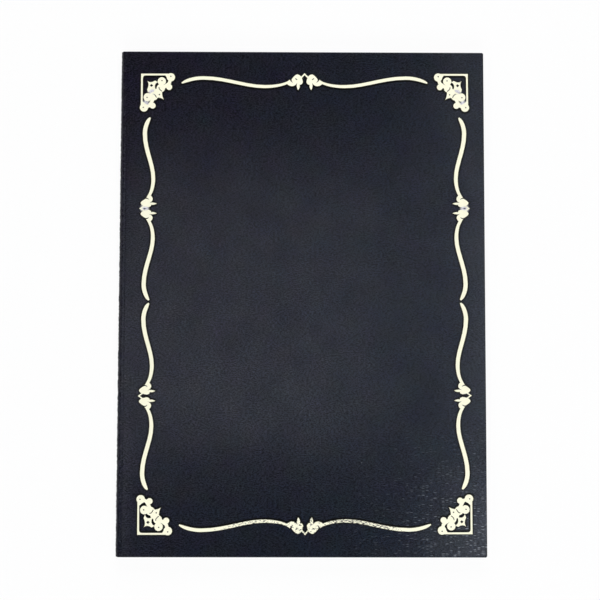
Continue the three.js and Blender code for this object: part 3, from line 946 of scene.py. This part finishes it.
# %% Lining material
WATER_HILLS = (0.011, 0.045, 0)
WATER_RINGS = 70.0
RIBS = 0.7
LINING_SHADE = (0.62, 0.585, 0.49, 1)
LINING_LIGHT = (0.74, 0.705, 0.61, 1)
LINING_ROUGHNESS = (0.62, 0.36)

lining, tree, surface = new_material("watered_lining", Specular_IOR_Level=0.35)
in_mm = in_millimetres(tree, add_node(tree, "TexCoord").outputs["Object"])
drawn_out = calculate_vector(tree, "MULTIPLY", in_mm, WATER_HILLS)
hills = add_node(tree, "TexNoise", {"Vector": drawn_out, "Scale": 1.0, "Detail": 1.5})
rings = calculate(tree, "MULTIPLY", hills.outputs["Fac"], WATER_RINGS)
water = ramp(tree, calculate(tree, "SINE", rings), -1, 1)
rib_inputs = {"Vector": in_mm, "Scale": RIBS, "Distortion": 0.3}
ribs = add_node(tree, "TexWave", rib_inputs, bands_direction="Y").outputs["Fac"]
ribbed = bump(tree, calculate(tree, "MULTIPLY", ribs, water), 0.4, 0.06 * MM)
tint = mix_colours(tree, water, LINING_SHADE, LINING_LIGHT)
feed(tree, surface, Base_Color=tint, Roughness=ramp(tree, water, 0, 1, *LINING_ROUGHNESS), Normal=ribbed)
for name in ("front_lining", "back_lining"):
    dress(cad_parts[name].data, lining)
print("watered lining on both covers")

# %% [markdown]
# Satin is woven with long floats that lie along the ribbon, so it shines in streaks across the light: a
# stretched noise in the roughness and a fine rib for the weft do that, and a little sheen stands for
# the loose fibres.

# %% Satin material
FLOATS = (0.5, 9.0, 1)
WEFT = 1.1
SATIN_SHADE = (0.50, 0.38, 0.15, 1)
SATIN_LIGHT = (0.72, 0.59, 0.31, 1)
SATIN_ROUGHNESS = (0.28, 0.5)

satin, tree, surface = new_material(
    "satin_ribbon", Sheen_Weight=0.25, Sheen_Roughness=0.4, Specular_IOR_Level=0.5,
)
in_mm = in_millimetres(tree, add_node(tree, "UVMap", uv_map="sheet").outputs["UV"])
floats = calculate_vector(tree, "MULTIPLY", in_mm, FLOATS)
threads = add_node(tree, "TexNoise", {"Vector": floats, "Scale": 1.0, "Detail": 2.0}).outputs["Fac"]
weft_inputs = {"Vector": in_mm, "Scale": WEFT, "Distortion": 0.4}
weft = add_node(tree, "TexWave", weft_inputs, bands_direction="X").outputs["Fac"]
woven = bump(tree, calculate(tree, "ADD", threads, weft), 0.3, 0.05 * MM)
colour = mix_colours(tree, threads, SATIN_SHADE, SATIN_LIGHT)
feed(tree, surface, Base_Color=colour, Roughness=ramp(tree, threads, 0, 1, *SATIN_ROUGHNESS), Normal=woven)
for ribbon in ribbons:
    dress(ribbon.data, satin)
print("satin on", len(ribbons), "ribbons")

# %% [markdown]
# Greyboard is pressed from waste paper and is full of short fibres. It hardly shows, but a hidden piece
# still gets its own finish: one noise, as fine as the fibres, for its colour, its roughness and its
# bump.

# %% Greyboard material
FIBRES = 900.0
BOARD_SHADE = (0.16, 0.145, 0.12, 1)
BOARD_LIGHT = (0.34, 0.32, 0.28, 1)
BOARD_ROUGHNESS = (0.85, 1.0)

greyboard, tree, surface = new_material("greyboard", Specular_IOR_Level=0.2)
place = add_node(tree, "TexCoord").outputs["Object"]
fibre_inputs = {"Vector": place, "Scale": FIBRES, "Detail": 4.0, "Roughness": 0.7}
fibres = add_node(tree, "TexNoise", fibre_inputs).outputs["Fac"]
colour = mix_colours(tree, fibres, BOARD_SHADE, BOARD_LIGHT)
rough = ramp(tree, fibres, 0, 1, *BOARD_ROUGHNESS)
feed(tree, surface, Base_Color=colour, Roughness=rough, Normal=bump(tree, fibres, 0.4, 0.1 * MM))
stiff = ("front_board", "back_board", "front_infill_card", "back_infill_card", "spine_stiffener")
for name in stiff:
    dress(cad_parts[name].data, greyboard)
print("greyboard on", len(stiff), "pieces")

# %% [markdown]
# The holder lies on a white table that curves up at its rim into a backdrop, so there is white behind
# it from every side. It is one profile of radius and height in metres, turned round the middle.

# %% Table
TABLE_PROFILE = [(0.0, 0.0), (1.7, 0.0), (2.2, 0.06), (2.6, 0.3), (2.85, 0.8), (2.9, 1.7)]
TABLE_STEPS = 48
TABLE_ROOM = 1.2 * GRAIN_LIFT

points, faces = [], []
for step in range(TABLE_STEPS):
    turn = 2 * math.pi * step / TABLE_STEPS
    across, up = math.cos(turn), math.sin(turn)
    points += [(radius * across, radius * up, height) for radius, height in TABLE_PROFILE]
rings = len(TABLE_PROFILE)
for step in range(TABLE_STEPS):
    here, beside = step * rings, (step + 1) % TABLE_STEPS * rings
    faces += [(here + ring, here + ring + 1, beside + ring + 1, beside + ring) for ring in range(rings - 1)]
table = add_piece("table", points, faces)
table.location.z = -TABLE_ROOM
print("table at", f"{table.location.z / MM:.2f} mm")

# %% [markdown]
# Seen by the camera, in a reflection or through glass, most of the table's white comes from a plain
# emission of strength 1, so that it stays white without more light on the holder. The rest is ordinary
# diffuse white, which keeps the shadow.

# %% White of the table
GLOW_SHARE = 0.92
TABLE_WHITE = (0.9, 0.9, 0.9, 1)
PLAIN_WHITE = (1, 1, 1, 1)

table_white = bpy.data.materials.new("table_white")
table_white.use_nodes = True
table_white.cycles.emission_sampling = "NONE"
tree = table_white.node_tree
tree.nodes.clear()
path = add_node(tree, "LightPath").outputs
seen = calculate(tree, "MAXIMUM", path["Is Camera Ray"], path["Is Glossy Ray"])
seen_through = calculate(tree, "MAXIMUM", seen, path["Is Transmission Ray"])
share = calculate(tree, "MULTIPLY", seen_through, GLOW_SHARE)
matt = add_node(tree, "BsdfDiffuse", {"Color": TABLE_WHITE}).outputs[0]
glow = add_node(tree, "Emission", {"Color": PLAIN_WHITE, "Strength": 1.0}).outputs[0]
mixed = add_node(tree, "MixShader", {0: share, 1: matt, 2: glow}).outputs[0]
add_node(tree, "OutputMaterial", {"Surface": mixed})
table.data.materials.append(table_white)
print("table white:", len(tree.nodes), "nodes")

# %% [markdown]
# The cover is nearly flat and seen from above, so it mirrors what hangs over it. The middle of the
# cover mirrors a wide overhead softbox, a smaller one makes the pool of light a little below it, two
# strips lift the sides, and two small softboxes lift the corners of the opening edge. All of these are
# slightly cool and point straight down. Four lamps stand round the table and aim at its middle. Those
# at the head and the tail are strong, for the gold: foil pressed into grain is rough and gathers their
# light, while the cover mirrors it away from the camera.

# %% Lamps
COOL = (0.91, 0.945, 1.0)
WHITE = (1, 1, 1)
SOFTBOX_HEIGHT = 1.2
LAMP_HEIGHT = 0.8
SOFTBOXES = [
    ("overhead_softbox", (-0.12, 0.11), (0.7, 0.46), 1.68),
    ("pool_softbox", (-0.08, -0.1), (0.5, 0.24), 1.22),
    ("right_strip", (0.45, 0.05), (0.16, 0.6), 1.52),
    ("left_strip", (-0.5, -0.2), (0.14, 0.56), 1.02),
    ("head_corner_softbox", (0.45, 0.5), (0.3, 0.3), 0.62),
    ("tail_corner_softbox", (0.46, -0.45), (0.25, 0.25), 1.5),
]
LAMPS = [
    ("left_lamp", (-1.0, 0.1), (0.6, 0.9), 1.3),
    ("right_lamp", (1.0, -0.1), (0.6, 0.9), 0.9),
    ("head_lamp", (0, 1.2), (0.9, 0.6), 10.2),
    ("tail_lamp", (0, -1.2), (0.9, 0.6), 10.3),
]


def add_lamp(name, place, aim, size, power, colour):
    light = bpy.data.lights.new(name, "AREA")
    light.shape = "RECTANGLE"
    light.size, light.size_y = size
    light.energy = power
    light.color = colour
    lamp = put_in_scene(name, light)
    lamp.location = place
    lamp.rotation_euler = (Vector(aim) - Vector(place)).to_track_quat("-Z", "Y").to_euler()


for name, spot, size, power in SOFTBOXES:
    add_lamp(name, (*spot, SOFTBOX_HEIGHT), (*spot, 0), size, power, COOL)
for name, spot, size, power in LAMPS:
    add_lamp(name, (*spot, LAMP_HEIGHT), (0, 0, 0), size, power, WHITE)
print("lamps:", [light.name for light in bpy.data.lights])

# %% [markdown]
# Apart from the lamps, the room gives only a trace of even light. The Standard view shows each colour
# about as it is written, while Blender's usual view would grey the white and dull the gold.

# %% Room
ROOM_LIGHT = 0.02

room = bpy.data.worlds.new("room")
bpy.context.scene.world = room
room.use_nodes = True
background = room.node_tree.nodes["Background"]
background.inputs["Color"].default_value = PLAIN_WHITE
background.inputs["Strength"].default_value = ROOM_LIGHT
bpy.context.scene.view_settings.view_transform = "Standard"
print("room light:", ROOM_LIGHT)

# %% [markdown]
# The camera looks down from half a metre above, a little nearer to the tail than to the head. Its place
# and turn were solved from where the four corners of the cover lie in the photograph.

# %% Place the camera
LENS = 50
SENSOR_WIDTH = 36
CAMERA_PLACE = (-3.84 * MM, -23.77 * MM, 518.4 * MM)
CAMERA_TURN = (2.7445, -0.3079, 0.1352)

lens = bpy.data.cameras.new("camera")
lens.lens = LENS
lens.sensor_width = SENSOR_WIDTH
camera = put_in_scene("camera", lens)
camera.location = CAMERA_PLACE
camera.rotation_euler = [math.radians(turn) for turn in CAMERA_TURN]
bpy.context.scene.camera = camera
print("camera at", [round(value / MM) for value in camera.location], "mm")
